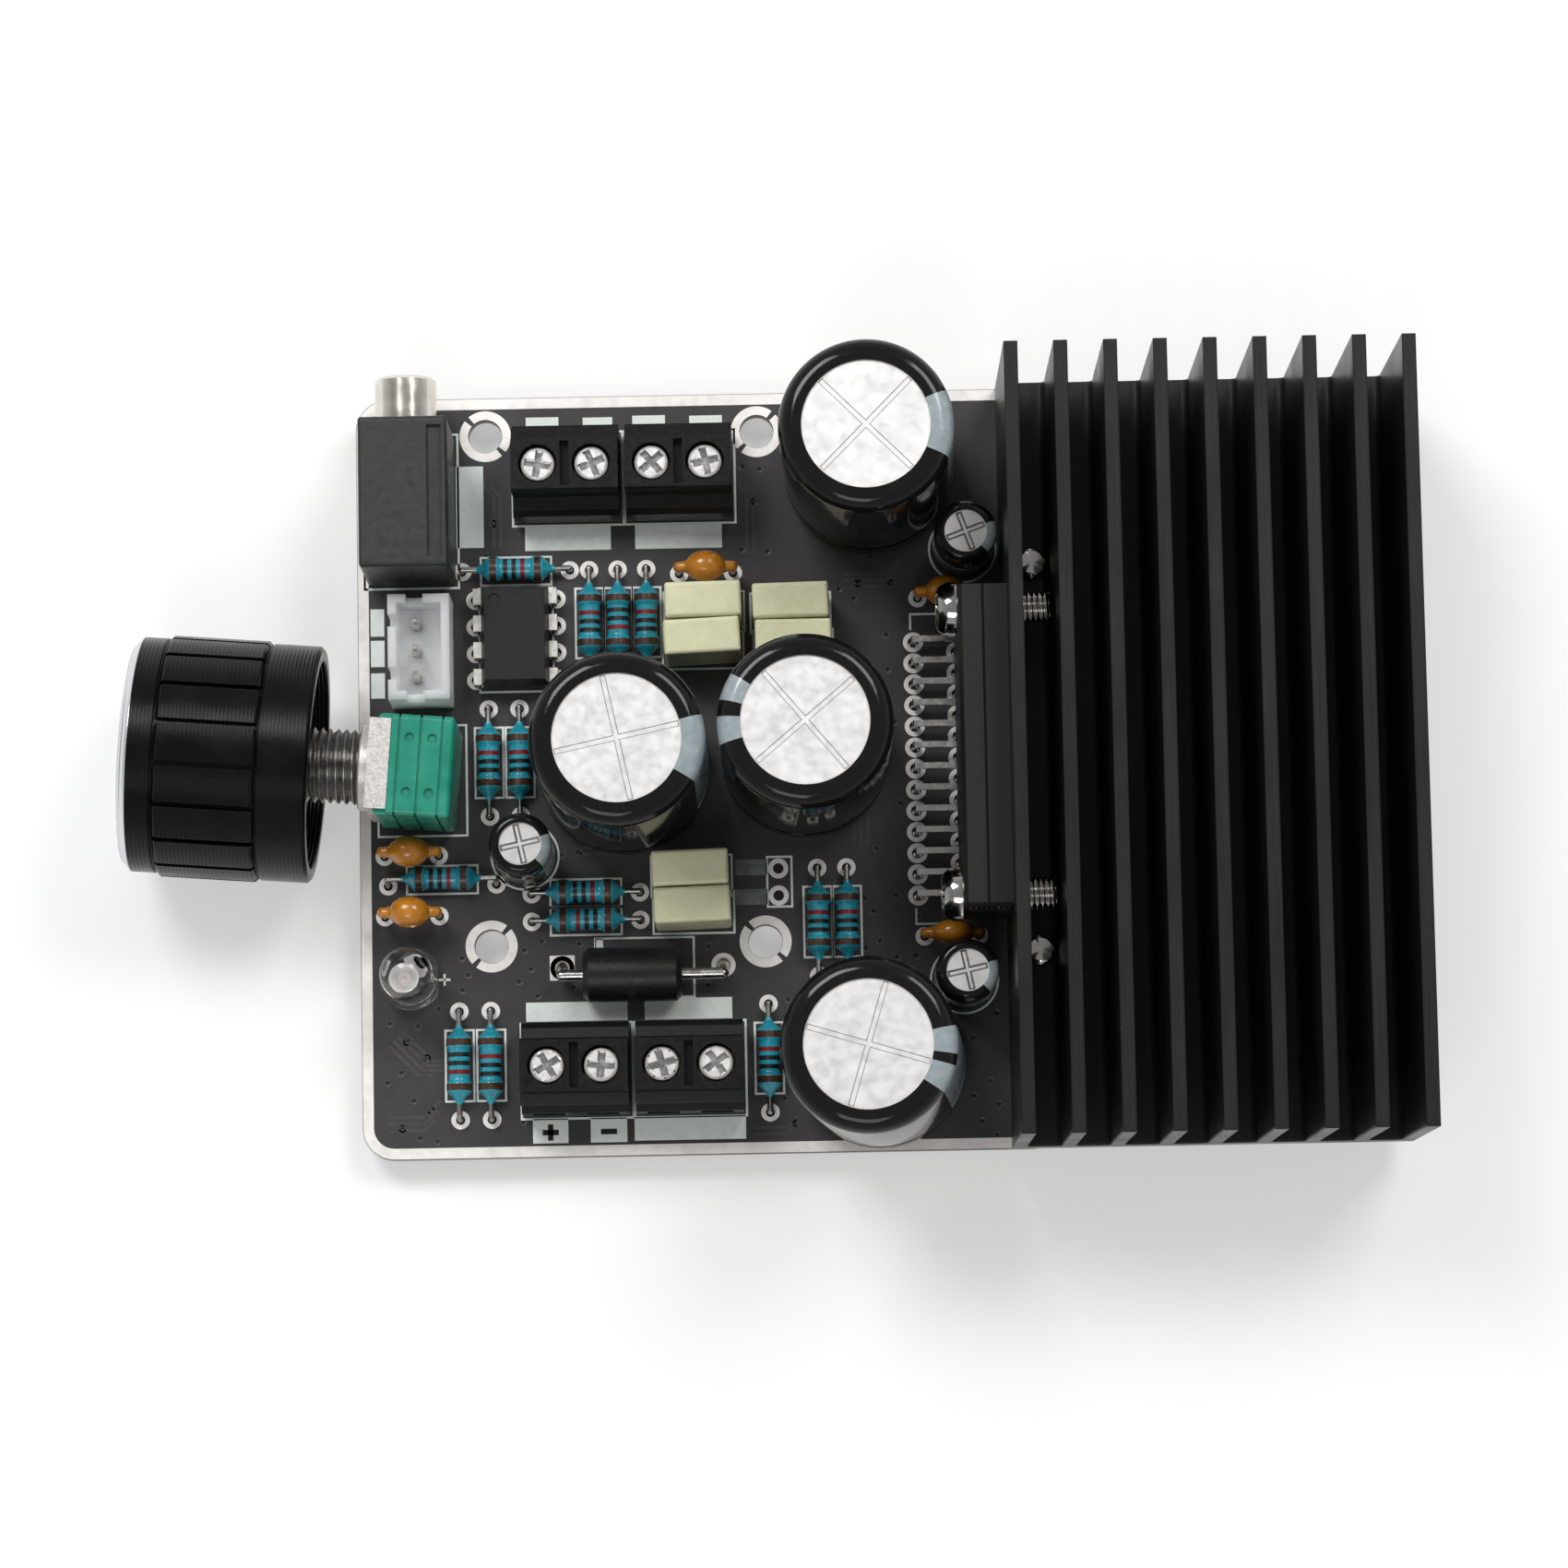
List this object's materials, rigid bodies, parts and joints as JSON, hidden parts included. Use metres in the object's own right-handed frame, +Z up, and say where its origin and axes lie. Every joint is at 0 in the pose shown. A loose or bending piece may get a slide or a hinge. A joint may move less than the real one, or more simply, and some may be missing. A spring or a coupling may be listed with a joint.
{
  "type": "audio amplifier board",
  "caption": "Dark circuit board with a finned heatsink, filter capacitors, screw terminals, input jack and a turning volume knob; amplifies sound for loudspeakers.",
  "frame": {"origin": "centre of the four mounting holes, on the underside of the circuit board", "axes": "+X towards the heatsink, +Y towards the input jack's mouth, +Z up from the component side"},
  "size_m": [0.1194, 0.0728, 0.0295],
  "materials": {
    "board_laminate": "semi-gloss dark solder mask",
    "solder_tin": "bright solder",
    "black_anodised": "black anodised, satin",
    "screw_steel": "plated steel",
    "chip_epoxy": "matte moulded epoxy",
    "tinned_lead": "tinned wire",
    "black_plastic": "black moulded plastic",
    "nickel": "nickel plate",
    "contact_brass": "tinned brass",
    "white_nylon": "translucent white nylon",
    "green_resin": "green moulded resin",
    "knob_black": "black anodised with a bright cut face",
    "insert_plastic": "dark plastic",
    "clear_lens": "water-clear lens",
    "ceramic_coat": "orange dipped coat",
    "film_case": "cream boxed case",
    "resistor_coat": "blue coat with colour bands",
    "sleeve_black": "glossy shrink sleeve with a bare aluminium top",
    "terminal_plastic": "black moulded plastic"
  },
  "bodies": {
    "board": {"circuit_board": "board_laminate", "solder_joints": "solder_tin", "heatsink": "black_anodised", "heatsink_screws": "screw_steel", "chip_screws": "screw_steel", "amplifier_chip": "chip_epoxy", "op_amp": "chip_epoxy", "diode": "chip_epoxy", "amplifier_chip_leads": "tinned_lead", "input_header_pins": "tinned_lead", "volume_pot_terminals": "tinned_lead", "led_leads": "tinned_lead", "op_amp_leads": "tinned_lead", "ceramic_capacitor_leads": "tinned_lead", "film_capacitor_leads": "tinned_lead", "resistor_leads": "tinned_lead", "diode_leads": "tinned_lead", "electrolytic_leads": "tinned_lead", "audio_jack_body": "black_plastic", "audio_jack_barrel": "nickel", "volume_pot_plate": "nickel", "volume_pot_bushing": "nickel", "audio_jack_contacts": "contact_brass", "terminal_contacts": "contact_brass", "input_header": "white_nylon", "volume_pot_body": "green_resin", "led_lens": "clear_lens", "ceramic_capacitors": "ceramic_coat", "film_capacitors": "film_case", "resistor_bodies": "resistor_coat", "filter_capacitor_1": "sleeve_black", "filter_capacitor_2": "sleeve_black", "filter_capacitor_3": "sleeve_black", "filter_capacitor_4": "sleeve_black", "small_capacitors": "sleeve_black", "terminal_block_1": "terminal_plastic", "terminal_block_2": "terminal_plastic", "terminal_block_3": "terminal_plastic", "terminal_block_4": "terminal_plastic"},
    "knob": {"volume_pot_shaft": "nickel", "knob": "knob_black", "knob_insert": "insert_plastic"},
    "clamp_1": {"terminal_clamp_1": "contact_brass"},
    "screw_1": {"terminal_screw_1": "screw_steel"},
    "clamp_2": {"terminal_clamp_2": "contact_brass"},
    "screw_2": {"terminal_screw_2": "screw_steel"},
    "clamp_3": {"terminal_clamp_3": "contact_brass"},
    "screw_3": {"terminal_screw_3": "screw_steel"},
    "clamp_4": {"terminal_clamp_4": "contact_brass"},
    "screw_4": {"terminal_screw_4": "screw_steel"},
    "clamp_5": {"terminal_clamp_5": "contact_brass"},
    "screw_5": {"terminal_screw_5": "screw_steel"},
    "clamp_6": {"terminal_clamp_6": "contact_brass"},
    "screw_6": {"terminal_screw_6": "screw_steel"},
    "clamp_7": {"terminal_clamp_7": "contact_brass"},
    "screw_7": {"terminal_screw_7": "screw_steel"},
    "clamp_8": {"terminal_clamp_8": "contact_brass"},
    "screw_8": {"terminal_screw_8": "screw_steel"}
  },
  "joints": [
    {"name": "volume_turn", "type": "hinge", "parent": "board", "child": "knob", "pos_m": [-0.0235, -0.00815, 0.0092], "axis": [-0.9968, 0.0802, 0], "range_deg": [-150, 150]},
    {"name": "clamp_1_slide", "type": "slide", "parent": "board", "child": "clamp_1", "axis": [0, 0, 1], "range_m": [-0.00158, 0]},
    {"name": "screw_1_turn", "type": "hinge", "parent": "clamp_1", "child": "screw_1", "pos_m": [-0.0076, 0.0201, 0.0016], "axis": [0, 0, 1], "range_deg": [-1260, 0]},
    {"name": "clamp_2_slide", "type": "slide", "parent": "board", "child": "clamp_2", "axis": [0, 0, 1], "range_m": [-0.00158, 0]},
    {"name": "screw_2_turn", "type": "hinge", "parent": "clamp_2", "child": "screw_2", "pos_m": [-0.0026, 0.0201, 0.0016], "axis": [0, 0, 1], "range_deg": [-1260, 0]},
    {"name": "clamp_3_slide", "type": "slide", "parent": "board", "child": "clamp_3", "axis": [0, 0, 1], "range_m": [-0.00158, 0]},
    {"name": "screw_3_turn", "type": "hinge", "parent": "clamp_3", "child": "screw_3", "pos_m": [0.003, 0.0201, 0.0016], "axis": [0, 0, 1], "range_deg": [-1260, 0]},
    {"name": "clamp_4_slide", "type": "slide", "parent": "board", "child": "clamp_4", "axis": [0, 0, 1], "range_m": [-0.00158, 0]},
    {"name": "screw_4_turn", "type": "hinge", "parent": "clamp_4", "child": "screw_4", "pos_m": [0.008, 0.0201, 0.0016], "axis": [0, 0, 1], "range_deg": [-1260, 0]},
    {"name": "clamp_5_slide", "type": "slide", "parent": "board", "child": "clamp_5", "axis": [0, 0, 1], "range_m": [-0.00158, 0]},
    {"name": "screw_5_turn", "type": "hinge", "parent": "clamp_5", "child": "screw_5", "pos_m": [-0.0075, -0.0361, 0.0016], "axis": [0, 0, 1], "range_deg": [-1260, 0]},
    {"name": "clamp_6_slide", "type": "slide", "parent": "board", "child": "clamp_6", "axis": [0, 0, 1], "range_m": [-0.00158, 0]},
    {"name": "screw_6_turn", "type": "hinge", "parent": "clamp_6", "child": "screw_6", "pos_m": [-0.0025, -0.0361, 0.0016], "axis": [0, 0, 1], "range_deg": [-1260, 0]},
    {"name": "clamp_7_slide", "type": "slide", "parent": "board", "child": "clamp_7", "axis": [0, 0, 1], "range_m": [-0.00158, 0]},
    {"name": "screw_7_turn", "type": "hinge", "parent": "clamp_7", "child": "screw_7", "pos_m": [0.0031, -0.0361, 0.0016], "axis": [0, 0, 1], "range_deg": [-1260, 0]},
    {"name": "clamp_8_slide", "type": "slide", "parent": "board", "child": "clamp_8", "axis": [0, 0, 1], "range_m": [-0.00158, 0]},
    {"name": "screw_8_turn", "type": "hinge", "parent": "clamp_8", "child": "screw_8", "pos_m": [0.0081, -0.0361, 0.0016], "axis": [0, 0, 1], "range_deg": [-1260, 0]}
  ],
  "couplings": [
    {"joint": "screw_1_turn", "follows": "clamp_1_slide", "rad_per_m": 13962},
    {"joint": "screw_2_turn", "follows": "clamp_2_slide", "rad_per_m": 13962},
    {"joint": "screw_3_turn", "follows": "clamp_3_slide", "rad_per_m": 13962},
    {"joint": "screw_4_turn", "follows": "clamp_4_slide", "rad_per_m": 13962},
    {"joint": "screw_5_turn", "follows": "clamp_5_slide", "rad_per_m": 13962},
    {"joint": "screw_6_turn", "follows": "clamp_6_slide", "rad_per_m": 13962},
    {"joint": "screw_7_turn", "follows": "clamp_7_slide", "rad_per_m": 13962},
    {"joint": "screw_8_turn", "follows": "clamp_8_slide", "rad_per_m": 13962}
  ]
}
